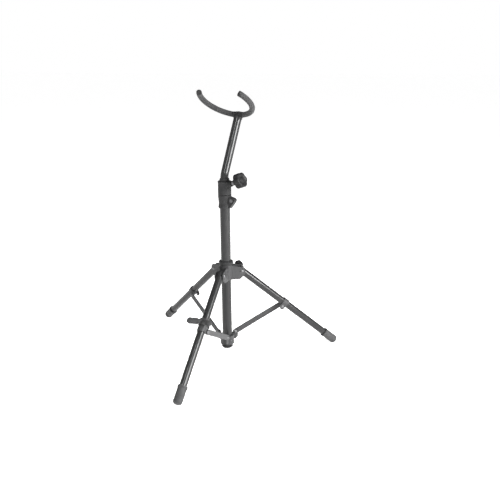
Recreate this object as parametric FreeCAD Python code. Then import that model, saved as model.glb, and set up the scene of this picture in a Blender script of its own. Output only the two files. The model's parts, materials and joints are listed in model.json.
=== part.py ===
import FreeCAD, Part
import math
import os

# Folding tripod stand for a large saxophone.
# Frame: +Z up, origin on the column axis at floor level, leg A points along -Y.
# All sizes in millimetres, angles in degrees.

# ---- fits -------------------------------------------------------------------
FIT = 0.05                  # radial gap of a running or sliding fit
CLEAR = 0.3                 # gap between faces of pieces that pass each other
CHAMFER = 0.6

# ---- column -----------------------------------------------------------------
COLUMN_OD = 30.0
COLUMN_WALL = 1.6
COLUMN_BOTTOM = 18.0
COLUMN_TOP = 530.0
COLUMN_ID = COLUMN_OD - 2 * COLUMN_WALL
END_CAP_EDGE = 2.5          # the plug's lip stands out this far all round
END_CAP_LIP = 9.0
END_CAP_SPIGOT = 22.0
END_CAP_WALL = 3.0
END_CAP_BEVEL = 4.0

# ---- legs -------------------------------------------------------------------
LEG_AZIMUTHS = {"a": -90.0, "b": 30.0, "c": 150.0}
LEG_OD = 22.0
LEG_WALL = 1.4
LEG_SLOPE = 40.5
FOOT_REACH = 360.0          # radius where the leg's axis meets the floor
LEG_TIP = 14.0              # start of the tube, measured up the axis from the floor
LEG_HEAD = 9.0              # tube beyond the hub pivot
PIN_D = 6.0
LEG_PLUG_LENGTH = 24.0
LEG_PLUG_HEAD = 2.5

# ---- rubber feet ------------------------------------------------------------
FOOT_WALL = 2.3
FOOT_MOUTH_WALL = 3.5
FOOT_MOUTH_LENGTH = 6.0
FOOT_MOUTH_RAMP = 1.5
FOOT_LENGTH = 52.0
FOOT_ROUND = 8.0
FOOT_FLAT_SINK = 0.9        # depth of the floor facet worn into the rounded end

# ---- sliding hub ------------------------------------------------------------
HUB_LINER_WALL = 1.6        # plastic liner between hub and column
HUB_WALL = 4.4
HUB_BELOW = 24.0            # hub body below and above its pivots
HUB_ABOVE = 22.0
HUB_LEG_ROOM = 15.0         # free space between the hub body and a leg tube
HUB_EAR = 3.0
HUB_EAR_GAP = 0.5           # side gap between the leg tube and each ear
HUB_EAR_OUTER = 9.5         # ear beyond its pivot
HUB_EAR_CUT = 16.0          # bevel below the ear's outer end
HUB_EAR_CORNER = 7.0
HUB_FLANGE_EDGE = 1.0       # the liner's collar stands out this far beyond the hub
HUB_FLANGE = 12.0
HUB_FLANGE_BEVEL = 2.5
RIVET_HEAD_D = 11.0
RIVET_HEAD_H = 2.6
HUB_KNOB_AZIMUTH = 66.0
HUB_KNOB_Z = 8.0            # lock screw above the pivots
HUB_KNOB_D = 26.0
HUB_KNOB_LENGTH = 16.0
HUB_KNOB_LOBES = 3
HUB_KNOB_LOBE_D = 11.0
HUB_KNOB_GAP = 16.0         # between the boss and the knob's inner face
HUB_SCREW_D = 8.0
HUB_BOSS_D = 16.0
HUB_BOSS_REACH = 9.0

# ---- lower ring and braces --------------------------------------------------
RING_WALL = 6.5
RING_RISE = 9.0             # the ring's lower face above the column's end
RING_HEIGHT = 29.0
RING_PIVOT_RISE = 1.5       # brace pivots above the ring's top face
RING_EAR_LIFT = 8.0         # ears start this far above the ring's lower face
RING_EAR_OVERLAP = 2.5      # a brace's round end reaches this far inside the ring's radius
RING_SCREW_AZIMUTH = -30.0
BRACE_HEIGHT = 16.0
BRACE_THICK = 3.0
BRACE_RIVET_D = 6.0
EAR_THICK = 3.0
CHEEK_INSET = 1.1           # ears' and lugs' outer faces lie this far inside the collar's radius
BRACE_PIN_ALONG = 233.0     # brace pin, measured up the leg axis from the floor
BRACE_LEG_OVERLAP = 5.0     # the brace's top edge lies this far above the leg's underside
COLLAR_WALL = 2.4
COLLAR_LENGTH = 18.0

# ---- height clamp -----------------------------------------------------------
CLAMP_WALL = 4.8
CLAMP_WAIST_WALL = 3.0
CLAMP_RISE = 16.0           # housing above the column's end
CLAMP_LENGTH = 80.0
CLAMP_WAIST_UP = 14.0       # waist, shoulder and slot above the housing's lower end
CLAMP_SHOULDER_UP = 34.0
CLAMP_SLOT_UP = 39.0
CLAMP_SLOT = 1.8
CLAMP_SLOT_TURN = -25.0
CLAMP_RIM_EDGE = 0.6
CLAMP_RIM = 4.0
CLAMP_SCREW_AZIMUTH = -15.0
CLAMP_SCREW_TILT = 22.0
CLAMP_SCREW_D = 8.0
CLAMP_BOSS_D = 17.0
CLAMP_BOSS_REACH = 9.2
CLAMP_LUG_THICK = 13.0
CLAMP_LUG_REACH = 20.2
PINCH_SCREW_D = 5.0
PINCH_SCREW_HEAD = 3.5
KNOB_GAP = 21.0             # between the boss and the knob's inner face
KNOB_D = 46.4
KNOB_LENGTH = 22.0
KNOB_LOBES = 6
KNOB_LOBE_D = 25.0
KNOB_NECK_D = 15.0
KNOB_NECK_GAP = 4.0
BUSH_EDGE = 1.45            # the bush's collar stands out this far over the column's bore
BUSH_HEAD = 8.0
BUSH_LENGTH = 60.0

# ---- stem and yoke ----------------------------------------------------------
STEM_SIDE_GAP = 1.4         # room for the bush between stem and column
STEM_OD = COLUMN_ID - 2 * STEM_SIDE_GAP
STEM_WALL = 1.5
STEM_INSERT = 200.0         # length of stem inside the column
STEM_LEAN = 25.0
STEM_AZIMUTH = 78.0
STEM_BEND_RADIUS = 36.0
STEM_STRAIGHT = 0.52        # straight run between the bush and the bend
STEM_REACH = 184.0          # from the knee to the middle of the yoke's arc
STEM_PLUG_LENGTH = 30.0
STEM_PLUG_HEAD = 8.0
YOKE_RADIUS = 79.0
YOKE_TILT = 34.5            # the yoke's plane rises this much towards its opening
YOKE_SWEEP = 240.0
YOKE_ROD_D = 8.0
SLEEVE_WALL = 4.2
SADDLE_WALL = 6.5
SADDLE_SOCKET_WALL = 1.6
SADDLE_SIDE_ROOM = 5.4      # the saddle's bar is this much longer than its socket, each side
SADDLE_SOCKET = 3.0
SADDLE_SPIGOT = 31.0
SADDLE_TO_SLEEVE = 0.5
TIP_CAP = 2.2
TIP_CAP_PROUD = 1.6
STEM_TOP_GAP = 5.0          # between the stem's end and the yoke rod

# ---- lower rest on leg A ----------------------------------------------------
REST_GAP = 1.0              # between the rest and the collar below it
REST_LENGTH = 18.0
REST_WALL = 4.5
REST_ROOT_RISE = 1.0        # the prongs start this far above the leg tube
REST_BOSS_RISE = 7.0
REST_BOSS_D = 19.0
PRONG_SIDE = 35.5           # each prong runs sideways, forward and up by this much
PRONG_FORWARD = 30.0
PRONG_UP = 11.0
PRONG_ROD_D = 8.0
PRONG_ROD_START = 4.5
PRONG_SOCKET_WALL = 3.0
PRONG_SLEEVE_D = 18.6
PRONG_SLEEVE_START = 15.0
REST_LUG_D = 13.0
REST_LUG_DROP = 2.0
REST_SCREW_D = 6.0
REST_KNOB_GAP = 1.0
REST_KNOB_D = 19.0
REST_KNOB_LENGTH = 8.5
REST_KNOB_LOBES = 4
REST_KNOB_LOBE_D = 7.0

# ---- sizes that follow from the values above --------------------------------
END_CAP_OD = COLUMN_OD + 2 * END_CAP_EDGE
LEG_ID = LEG_OD - 2 * LEG_WALL
FOOT_OD = LEG_OD + 2 * FOOT_WALL
FOOT_MOUTH_OD = LEG_OD + 2 * FOOT_MOUTH_WALL
LINER_OD = COLUMN_OD + 2 * HUB_LINER_WALL
HUB_OD = LINER_OD + 2 * HUB_WALL
HUB_FLANGE_OD = HUB_OD + 2 * HUB_FLANGE_EDGE
HUB_PIVOT_RADIUS = HUB_OD / 2 + HUB_LEG_ROOM + LEG_OD / 2
HUB_BOSS_END = HUB_OD / 2 + HUB_BOSS_REACH
HUB_KNOB_START = HUB_BOSS_END + HUB_KNOB_GAP
RING_OD = COLUMN_OD + 2 * RING_WALL
RING_BOTTOM = COLUMN_BOTTOM + RING_RISE
RING_TOP = RING_BOTTOM + RING_HEIGHT
RING_PIVOT_RADIUS = RING_OD / 2 + BRACE_HEIGHT / 2 - RING_EAR_OVERLAP
RING_PIVOT_Z = RING_TOP + RING_PIVOT_RISE
COLLAR_OD = LEG_OD + 2 * COLLAR_WALL
EAR_OUTER = COLLAR_OD / 2 - CHEEK_INSET
EAR_INNER = EAR_OUTER - EAR_THICK
BRACE_INNER = EAR_OUTER + CLEAR
BRACE_OUTER = BRACE_INNER + BRACE_THICK
BRACE_PIN_BELOW = LEG_OD / 2 + BRACE_HEIGHT / 2 - BRACE_LEG_OVERLAP
CLAMP_OD = COLUMN_OD + 2 * CLAMP_WALL
CLAMP_TOP = COLUMN_TOP + CLAMP_RISE
CLAMP_BOTTOM = CLAMP_TOP - CLAMP_LENGTH
CLAMP_BOSS_END = CLAMP_OD / 2 + CLAMP_BOSS_REACH
KNOB_START = CLAMP_BOSS_END + KNOB_GAP
BUSH_OD = COLUMN_ID - 2 * FIT
BUSH_TOP = CLAMP_TOP + BUSH_HEAD
STEM_CUT_BACK = STEM_BEND_RADIUS * math.tan(math.radians(STEM_LEAN / 2))
STEM_KNEE_Z = BUSH_TOP + STEM_STRAIGHT + STEM_CUT_BACK
STEM_BOTTOM = COLUMN_TOP - STEM_INSERT
STEM_END = STEM_REACH - YOKE_ROD_D / 2 - STEM_TOP_GAP
SLEEVE_OD = YOKE_ROD_D + 2 * SLEEVE_WALL
SADDLE_OD = YOKE_ROD_D + 2 * SADDLE_WALL
SADDLE_HALF = STEM_OD / 2 + SADDLE_SOCKET_WALL + SADDLE_SIDE_ROOM
REST_ALONG = BRACE_PIN_ALONG + COLLAR_LENGTH / 2 + REST_GAP + REST_LENGTH / 2
REST_OD = LEG_OD + 2 * REST_WALL
REST_ROOT_UP = LEG_OD / 2 + REST_ROOT_RISE
REST_LUG_END = REST_OD / 2 + REST_LUG_DROP
REST_KNOB_START = REST_LUG_END + REST_KNOB_GAP

Z_AXIS = FreeCAD.Vector(0, 0, 1)
ORIGIN = FreeCAD.Vector(0, 0, 0)


def vec(x, y, z):
    return FreeCAD.Vector(x, y, z)


def heading(azimuth):
    a = math.radians(azimuth)
    return vec(math.cos(a), math.sin(a), 0)


def rod(diameter, start, end):
    axis = end - start
    return Part.makeCylinder(diameter / 2, axis.Length, start, axis)


def tube(outer, inner, start, end):
    return rod(outer, start, end).cut(rod(inner, start, end))


def revolve(points, start=ORIGIN, axis=Z_AXIS):
    """Solid of revolution from (radius, height) points, then stood on an axis."""
    wire = Part.makePolygon([vec(r, 0, h) for r, h in points + points[:1]])
    solid = Part.Face(wire).revolve(ORIGIN, Z_AXIS, 360)
    solid.Placement = FreeCAD.Placement(start, FreeCAD.Rotation(Z_AXIS, axis))
    return solid


def rivet_head(start, axis, diameter=RIVET_HEAD_D, height=RIVET_HEAD_H):
    """Low domed head that stands on the plane through start."""
    sphere_r = (diameter * diameter / 4 + height * height) / (2 * height)
    unit = FreeCAD.Vector(axis).normalize()
    ball = Part.makeSphere(sphere_r, start - unit * (sphere_r - height))
    return ball.common(Part.makeCylinder(diameter / 2, height, start, unit))


def one_solid(shape):
    return shape.removeSplitter().Solids[0]


def slab(points, thick, middle=0.0):
    """Plate from (x, z) points, square to Y and centred on Y = middle."""
    wire = Part.makePolygon([vec(x, middle - thick / 2, z) for x, z in points + points[:1]])
    return Part.Face(wire).extrude(vec(0, thick, 0))


def turned(shape, azimuth):
    copy = shape.copy()
    copy.rotate(ORIGIN, Z_AXIS, azimuth)
    return copy


# ---- shared places in a leg's own plane (x outwards, y to its left, z up) ----
SLOPE = math.radians(LEG_SLOPE)
UP_LEG = vec(-math.cos(SLOPE), 0, math.sin(SLOPE))
OFF_LEG = vec(math.sin(SLOPE), 0, math.cos(SLOPE))
FLOOR_POINT = vec(FOOT_REACH, 0, 0)
PIVOT_ALONG = (FOOT_REACH - HUB_PIVOT_RADIUS) / math.cos(SLOPE)
HUB_PIVOT = FLOOR_POINT + UP_LEG * PIVOT_ALONG
HUB_Z = HUB_PIVOT.z
RING_PIVOT = vec(RING_PIVOT_RADIUS, 0, RING_PIVOT_Z)
BRACE_PIN = FLOOR_POINT + UP_LEG * BRACE_PIN_ALONG - OFF_LEG * BRACE_PIN_BELOW
SIDE = vec(0, 1, 0)


def on_leg(along, above=0.0):
    return FLOOR_POINT + UP_LEG * along + OFF_LEG * above


# ---- column and what is fixed to it -----------------------------------------
def column_tube():
    return tube(COLUMN_OD, COLUMN_ID, vec(0, 0, COLUMN_BOTTOM), vec(0, 0, COLUMN_TOP))


def column_end_cap():
    """Plastic plug with a lip that closes the column's lower end."""
    lip = END_CAP_OD / 2
    spigot = COLUMN_ID / 2 - FIT
    low = COLUMN_BOTTOM - END_CAP_LIP / 2
    high = COLUMN_BOTTOM + END_CAP_LIP / 2
    socket = COLUMN_OD / 2 + FIT
    wall = END_CAP_WALL
    bevel = END_CAP_BEVEL
    profile = [
        (spigot - wall, low + wall), (0, low + wall), (0, low), (lip - bevel, low), (lip, low + bevel),
        (lip, high), (socket, high), (socket, COLUMN_BOTTOM), (spigot, COLUMN_BOTTOM),
        (spigot, low + END_CAP_SPIGOT), (spigot - wall, low + END_CAP_SPIGOT),
    ]
    return revolve(profile)


def ring_ear():
    """Upright plate beside one brace, with the brace's rivet hole."""
    r = BRACE_HEIGHT / 2
    foot_z = RING_BOTTOM + RING_EAR_LIFT
    reach = RING_PIVOT_RADIUS + r
    middle = (EAR_INNER + EAR_OUTER) / 2
    body = slab([(0, foot_z), (reach - r, foot_z), (reach, foot_z + r), (reach, RING_PIVOT_Z),
                 (0, RING_PIVOT_Z)], EAR_THICK, middle)
    crown = rod(2 * r, vec(RING_PIVOT_RADIUS, EAR_INNER, RING_PIVOT_Z),
                vec(RING_PIVOT_RADIUS, EAR_OUTER, RING_PIVOT_Z))
    column_room = rod(COLUMN_OD + 2 * FIT, ORIGIN, vec(0, 0, COLUMN_TOP))
    return body.fuse(crown).cut(column_room)


def lower_ring():
    ring = rod(RING_OD, vec(0, 0, RING_BOTTOM), vec(0, 0, RING_TOP))
    ring = ring.makeChamfer(CHAMFER, ring.Edges)
    for azimuth in LEG_AZIMUTHS.values():
        ring = ring.fuse(turned(ring_ear(), azimuth))
    ring = ring.cut(rod(COLUMN_OD + 2 * FIT, ORIGIN, vec(0, 0, COLUMN_TOP)))
    for azimuth in LEG_AZIMUTHS.values():
        hole = rod(BRACE_RIVET_D, RING_PIVOT + SIDE * EAR_INNER, RING_PIVOT + SIDE * EAR_OUTER)
        ring = ring.cut(turned(hole, azimuth))
    hole = rod(PINCH_SCREW_D, ring_screw_end(COLUMN_OD / 2), ring_screw_end(RING_OD / 2 + 1))
    return one_solid(ring.cut(hole))


def ring_screw_end(radius):
    return heading(RING_SCREW_AZIMUTH) * radius + Z_AXIS * (RING_BOTTOM + RING_TOP) / 2


def ring_screw():
    """Grub screw that holds the ring on the column."""
    start = ring_screw_end(COLUMN_OD / 2)
    end = ring_screw_end(RING_OD / 2 - CHAMFER)
    return rod(PINCH_SCREW_D - 2 * FIT, start, end)


def brace_rivet(pivot):
    """Rivet through an ear plate and a brace, with a head on each side."""
    shank = rod(BRACE_RIVET_D - 2 * FIT, pivot + SIDE * EAR_INNER, pivot + SIDE * BRACE_OUTER)
    near = rivet_head(pivot + SIDE * EAR_INNER, SIDE * -1)
    far = rivet_head(pivot + SIDE * BRACE_OUTER, SIDE)
    return one_solid(shank.fuse([near, far]))


def brace():
    """Flat bar with round ends between the ring and a leg's collar."""
    run = BRACE_PIN - RING_PIVOT
    across = SIDE.cross(run).normalize() * (BRACE_HEIGHT / 2)
    corners = [RING_PIVOT + across, BRACE_PIN + across, BRACE_PIN - across, RING_PIVOT - across]
    middle = (BRACE_INNER + BRACE_OUTER) / 2
    bar = slab([(p.x, p.z) for p in corners], BRACE_THICK, middle)
    for pivot in (RING_PIVOT, BRACE_PIN):
        bar = bar.fuse(rod(BRACE_HEIGHT, pivot + SIDE * BRACE_INNER, pivot + SIDE * BRACE_OUTER))
    for pivot in (RING_PIVOT, BRACE_PIN):
        bar = bar.cut(rod(BRACE_RIVET_D, pivot + SIDE * BRACE_INNER, pivot + SIDE * BRACE_OUTER))
    return one_solid(bar)


# ---- legs -------------------------------------------------------------------
LEG_END = PIVOT_ALONG + LEG_HEAD


def pivot_cross(diameter, half_length):
    return rod(diameter, HUB_PIVOT - SIDE * half_length, HUB_PIVOT + SIDE * half_length)


def leg_tube():
    leg = tube(LEG_OD, LEG_ID, on_leg(LEG_TIP), on_leg(LEG_END))
    return leg.cut(pivot_cross(PIN_D, LEG_OD))


def leg_plug():
    """Plastic plug with a domed head that closes the top of a leg tube."""
    body = LEG_ID / 2 - FIT
    head = LEG_OD / 2
    length = LEG_PLUG_LENGTH
    profile = [(0, 0), (body, 0), (body, length), (head, length), (head, length + 1),
               (head - LEG_PLUG_HEAD, length + LEG_PLUG_HEAD), (0, length + LEG_PLUG_HEAD)]
    plug = revolve(profile, on_leg(LEG_END - length), UP_LEG)
    return plug.cut(pivot_cross(PIN_D, LEG_OD))


def leg_pin():
    """Pivot pin across the top of a leg, as long as the gap between the hub's ears."""
    return pivot_cross(PIN_D - 2 * FIT, LEG_OD / 2 + HUB_EAR_GAP / 2)


def foot():
    """Rubber cap with a thicker mouth, a rounded end and a floor facet."""
    end = foot_end()
    wall = FOOT_OD / 2
    mouth = FOOT_MOUTH_OD / 2
    lip = FOOT_LENGTH - FOOT_MOUTH_LENGTH
    bar = rod(FOOT_OD, on_leg(end), on_leg(end + FOOT_LENGTH))
    nose = min(bar.Edges, key=lambda edge: (edge.CenterOfMass - on_leg(end)).Length)
    bar = bar.makeFillet(FOOT_ROUND, [nose])
    rim = [(0, lip - FOOT_MOUTH_RAMP), (wall, lip - FOOT_MOUTH_RAMP), (mouth, lip),
           (mouth, FOOT_LENGTH - 1), (mouth - 1, FOOT_LENGTH), (0, FOOT_LENGTH)]
    cap = bar.fuse(revolve(rim, on_leg(end), UP_LEG))
    cap = cap.cut(rod(LEG_OD + 2 * FIT, on_leg(LEG_TIP), on_leg(end + FOOT_LENGTH + 1)))
    below = Part.makeBox(4 * FOOT_REACH, 4 * FOOT_REACH, FOOT_OD, vec(0, -2 * FOOT_REACH, -FOOT_OD))
    return one_solid(cap.cut(below))


def foot_end():
    """Place along the leg's axis where the rounded end dips FOOT_FLAT_SINK under the floor."""
    rim_centre = FOOT_OD / 2 - FOOT_ROUND
    rise = FOOT_ROUND - FOOT_FLAT_SINK + rim_centre * math.cos(SLOPE)
    return rise / math.sin(SLOPE) - FOOT_ROUND


def leg_block(half_length, high, low):
    """Corners of a rectangle in a leg's own plane, about the brace pin's place along the leg."""
    near = BRACE_PIN_ALONG - half_length
    far = BRACE_PIN_ALONG + half_length
    corners = [on_leg(near, high), on_leg(far, high), on_leg(far, low), on_leg(near, low)]
    return [(p.x, p.z) for p in corners]


def leg_collar():
    """Collar on the leg with a lug below it for the brace's rivet."""
    low = on_leg(BRACE_PIN_ALONG - COLLAR_LENGTH / 2)
    high = on_leg(BRACE_PIN_ALONG + COLLAR_LENGTH / 2)
    sleeve = rod(COLLAR_OD, low, high)
    r = BRACE_HEIGHT / 2
    lug = slab(leg_block(r, 0, -BRACE_PIN_BELOW), 2 * EAR_OUTER)
    lug = lug.fuse(rod(2 * r, BRACE_PIN - SIDE * EAR_OUTER, BRACE_PIN + SIDE * EAR_OUTER))
    mid_wall = (LEG_OD + COLLAR_OD) / 4
    slot = slab(leg_block(2 * r, -mid_wall, -BRACE_PIN_BELOW - 2 * r), 2 * EAR_INNER)
    collar = sleeve.fuse(lug.cut(slot))
    collar = collar.cut(rod(LEG_OD + 2 * FIT, low - UP_LEG, high + UP_LEG))
    hole = rod(BRACE_RIVET_D, BRACE_PIN - SIDE * EAR_OUTER, BRACE_PIN + SIDE * EAR_OUTER)
    return one_solid(collar.cut(hole))


def collar_rivet():
    """Rivet across a collar's lug and the brace beside it."""
    shank = rod(BRACE_RIVET_D - 2 * FIT, BRACE_PIN - SIDE * EAR_OUTER, BRACE_PIN + SIDE * BRACE_OUTER)
    near = rivet_head(BRACE_PIN - SIDE * EAR_OUTER, SIDE * -1)
    far = rivet_head(BRACE_PIN + SIDE * BRACE_OUTER, SIDE)
    return one_solid(shank.fuse([near, far]))


# ---- hub --------------------------------------------------------------------
HUB_LOW = HUB_Z - HUB_BELOW
HUB_HIGH = HUB_Z + HUB_ABOVE


def hub_screw_end(distance):
    return heading(HUB_KNOB_AZIMUTH) * distance + Z_AXIS * (HUB_Z + HUB_KNOB_Z)


def ear_plate(side):
    """One of the two plates that hold a leg's pivot, from the column's axis outwards."""
    inner = LEG_OD / 2 + HUB_EAR_GAP
    outer = HUB_PIVOT_RADIUS + HUB_EAR_OUTER
    corner = HUB_EAR_CORNER
    points = [(0, HUB_LOW), (outer - HUB_EAR_CUT, HUB_LOW), (outer, HUB_Z - HUB_EAR_OUTER),
              (outer, HUB_Z + HUB_EAR_OUTER - 3), (outer - corner, HUB_Z + HUB_EAR_OUTER + corner - 3),
              (0, HUB_HIGH)]
    return slab(points, HUB_EAR, side * (inner + HUB_EAR / 2))


def leg_hub():
    """Sliding hub: a sleeve with three pairs of ears and a boss for the lock screw."""
    hub = rod(HUB_OD, vec(0, 0, HUB_LOW), vec(0, 0, HUB_HIGH))
    for azimuth in LEG_AZIMUTHS.values():
        for side in (-1, 1):
            hub = hub.fuse(turned(ear_plate(side), azimuth))
    hub = hub.fuse(rod(HUB_BOSS_D, hub_screw_end(LINER_OD / 2), hub_screw_end(HUB_BOSS_END)))
    hub = hub.cut(rod(LINER_OD, vec(0, 0, HUB_LOW), vec(0, 0, HUB_HIGH)))
    for azimuth in LEG_AZIMUTHS.values():
        hub = hub.cut(turned(pivot_cross(PIN_D, LEG_OD), azimuth))
    return one_solid(hub.cut(rod(HUB_SCREW_D, hub_screw_end(0), hub_screw_end(HUB_KNOB_START))))


def hub_liner():
    """Plastic liner that slides on the column, with a collar on top of the hub."""
    bore = COLUMN_OD / 2 + FIT
    outer = LINER_OD / 2 - FIT
    flange = HUB_FLANGE_OD / 2
    top = HUB_HIGH + HUB_FLANGE
    profile = [(bore, HUB_LOW), (outer, HUB_LOW), (outer, HUB_HIGH), (flange, HUB_HIGH),
               (flange, top - HUB_FLANGE_BEVEL), (flange - HUB_FLANGE_BEVEL, top), (bore, top)]
    liner = revolve(profile)
    return liner.cut(rod(HUB_SCREW_D, hub_screw_end(0), hub_screw_end(HUB_OD)))


def hub_rivets():
    """Six domed rivets, one in each ear, flush with the ear's inner face."""
    inner = LEG_OD / 2 + HUB_EAR_GAP
    outer = inner + HUB_EAR
    rivets = []
    for azimuth in LEG_AZIMUTHS.values():
        for side in (SIDE, SIDE * -1):
            shank = rod(PIN_D - 2 * FIT, HUB_PIVOT + side * inner, HUB_PIVOT + side * outer)
            rivet = one_solid(shank.fuse(rivet_head(HUB_PIVOT + side * outer, side)))
            rivets.append(turned(rivet, azimuth))
    return Part.makeCompound(rivets)


def hub_screw():
    start = hub_screw_end(COLUMN_OD / 2 + CLEAR)
    return rod(HUB_SCREW_D - 2 * FIT, start, hub_screw_end(HUB_KNOB_START + HUB_KNOB_LENGTH / 4))


def lobed_knob(diameter, length, lobes, lobe_d, start, axis, bore, first_lobe=0.0):
    """Hand knob: a round body with lobes round its edge, softened on both faces."""
    ring = diameter / 2 - lobe_d / 2
    body = Part.makeCylinder(ring, length)
    for i in range(lobes):
        centre = heading(first_lobe + 360.0 * i / lobes) * ring
        body = body.fuse(Part.makeCylinder(lobe_d / 2, length, centre))
    body = body.removeSplitter()
    dome = revolve([(0, 0), (diameter / 2 - 3, 0), (diameter / 2 + 1, 3), (diameter / 2 + 1, length - 5),
                    (diameter / 2 - 6, length), (0, length)])
    body = body.common(dome)
    body = body.cut(Part.makeCylinder(bore / 2, length * 0.6))
    body.Placement = FreeCAD.Placement(start, FreeCAD.Rotation(Z_AXIS, axis))
    return one_solid(body)


def hub_knob():
    return lobed_knob(HUB_KNOB_D, HUB_KNOB_LENGTH, HUB_KNOB_LOBES, HUB_KNOB_LOBE_D,
                      hub_screw_end(HUB_KNOB_START), heading(HUB_KNOB_AZIMUTH), HUB_SCREW_D - 2 * FIT)


# ---- height clamp -----------------------------------------------------------
SCREW_TILT = math.radians(CLAMP_SCREW_TILT)
SCREW_AXIS = heading(CLAMP_SCREW_AZIMUTH) * math.cos(SCREW_TILT) + Z_AXIS * math.sin(SCREW_TILT)


def clamp_point(along):
    return vec(0, 0, COLUMN_TOP) + SCREW_AXIS * along


CLAMP_WAIST_Z = CLAMP_BOTTOM + CLAMP_WAIST_UP
CLAMP_SHOULDER_Z = CLAMP_BOTTOM + CLAMP_SHOULDER_UP
CLAMP_SLOT_Z = CLAMP_BOTTOM + CLAMP_SLOT_UP


def clamp_lug():
    """Wedge below the screw's boss that carries the pinch screw."""
    root = COLUMN_OD / 2 - CLAMP_WALL / 2
    reach = CLAMP_OD / 2 + CLAMP_LUG_REACH
    top = CLAMP_SHOULDER_Z + 3
    points = [(root, top), (reach - 4, top - 5), (reach, top - 10), (reach - 3, top - 17),
              (CLAMP_OD / 2 + 2, CLAMP_BOTTOM + 1), (root, CLAMP_BOTTOM + 1)]
    return turned(slab(points, CLAMP_LUG_THICK), CLAMP_SCREW_AZIMUTH)


def pinch_line(half):
    """Points across the lug, where its pinch screw runs."""
    out = CLAMP_OD / 2 + CLAMP_LUG_REACH / 2
    middle = heading(CLAMP_SCREW_AZIMUTH) * out + Z_AXIS * (CLAMP_SHOULDER_Z - PINCH_SCREW_D - 4)
    across = heading(CLAMP_SCREW_AZIMUTH + 90)
    return middle - across * half, middle + across * half


def clamp_housing():
    """Moulded housing over the column's top end, with a boss, a slot and a lug."""
    body = CLAMP_OD / 2
    waist = COLUMN_OD / 2 + CLAMP_WAIST_WALL
    rim = body + CLAMP_RIM_EDGE
    rim_z = CLAMP_TOP - CLAMP_RIM
    profile = [(0, CLAMP_BOTTOM), (body - 1, CLAMP_BOTTOM), (body - 0.4, CLAMP_BOTTOM + 3),
               (waist, CLAMP_WAIST_Z), (body, CLAMP_SHOULDER_Z), (body, rim_z - 1),
               (rim, rim_z), (rim, CLAMP_TOP - 1), (rim - 1, CLAMP_TOP), (0, CLAMP_TOP)]
    housing = revolve(profile)
    housing = housing.fuse(rod(CLAMP_BOSS_D, clamp_point(COLUMN_OD / 2), clamp_point(CLAMP_BOSS_END)))
    housing = housing.fuse(clamp_lug())
    housing = housing.cut(rod(COLUMN_OD + 2 * FIT, vec(0, 0, CLAMP_BOTTOM), vec(0, 0, COLUMN_TOP)))
    housing = housing.cut(rod(BUSH_OD + 2 * FIT, vec(0, 0, COLUMN_TOP), vec(0, 0, CLAMP_TOP)))
    slot = Part.makeBox(CLAMP_OD, CLAMP_OD + 2, CLAMP_SLOT,
                        vec(COLUMN_OD / 4, -CLAMP_OD / 2 - 1, CLAMP_SLOT_Z))
    housing = housing.cut(turned(slot, CLAMP_SCREW_AZIMUTH + CLAMP_SLOT_TURN))
    housing = housing.cut(rod(CLAMP_SCREW_D, clamp_point(0), clamp_point(CLAMP_BOSS_END + 1)))
    start, end = pinch_line(CLAMP_LUG_THICK)
    return one_solid(housing.cut(rod(PINCH_SCREW_D, start, end)))


def pinch_screw():
    """Screw and nut across the housing's lug."""
    half = CLAMP_LUG_THICK / 2
    start, end = pinch_line(half + PINCH_SCREW_HEAD)
    head_seat, nut_seat = pinch_line(half)
    screw = rod(PINCH_SCREW_D - 2 * FIT, start, end)
    head = rod(2 * PINCH_SCREW_D, start, head_seat)
    nut = rod(1.8 * PINCH_SCREW_D, nut_seat, end)
    return one_solid(screw.fuse([head, nut]))


def stem_bush():
    """Plastic bush between column and stem, with a collar on the housing."""
    bore = STEM_OD / 2 + FIT
    body = BUSH_OD / 2
    head = body + BUSH_EDGE
    top = BUSH_TOP
    profile = [(bore, CLAMP_TOP - BUSH_LENGTH), (body, CLAMP_TOP - BUSH_LENGTH), (body, CLAMP_TOP),
               (head, CLAMP_TOP), (head, top - 2), (head - 1.2, top), (bore, top)]
    bush = revolve(profile)
    return bush.cut(rod(CLAMP_SCREW_D, clamp_point(0), clamp_point(CLAMP_OD)))


def clamp_screw():
    """Threaded screw that presses on the stem, with its steel neck."""
    corner = CLAMP_SCREW_D / 2 * math.sin(SCREW_TILT)
    start = (STEM_OD / 2 + CLEAR + corner) / math.cos(SCREW_TILT)
    screw = rod(CLAMP_SCREW_D - 2 * FIT, clamp_point(start), clamp_point(KNOB_START + KNOB_LENGTH / 3))
    neck = rod(KNOB_NECK_D, clamp_point(CLAMP_BOSS_END + KNOB_NECK_GAP), clamp_point(KNOB_START))
    return one_solid(screw.fuse(neck))


def clamp_knob():
    return lobed_knob(KNOB_D, KNOB_LENGTH, KNOB_LOBES, KNOB_LOBE_D, clamp_point(KNOB_START),
                      SCREW_AXIS, CLAMP_SCREW_D - 2 * FIT, CLAMP_SCREW_AZIMUTH + 90)


# ---- stem and yoke ----------------------------------------------------------
LEAN = math.radians(STEM_LEAN)
STEM_AXIS = heading(STEM_AZIMUTH) * math.sin(LEAN) + Z_AXIS * math.cos(LEAN)
KNEE = vec(0, 0, STEM_KNEE_Z)
YOKE_FOOT = KNEE + STEM_AXIS * STEM_REACH
TILT = math.radians(YOKE_TILT)
YOKE_OPENING = heading(STEM_AZIMUTH) * -math.cos(TILT) + Z_AXIS * math.sin(TILT)
YOKE_ACROSS = heading(STEM_AZIMUTH + 90)
YOKE_CENTRE = YOKE_FOOT + YOKE_OPENING * YOKE_RADIUS
YOKE_NORMAL = YOKE_ACROSS.cross(YOKE_OPENING)


def stem_point(along):
    return KNEE + STEM_AXIS * along


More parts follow.
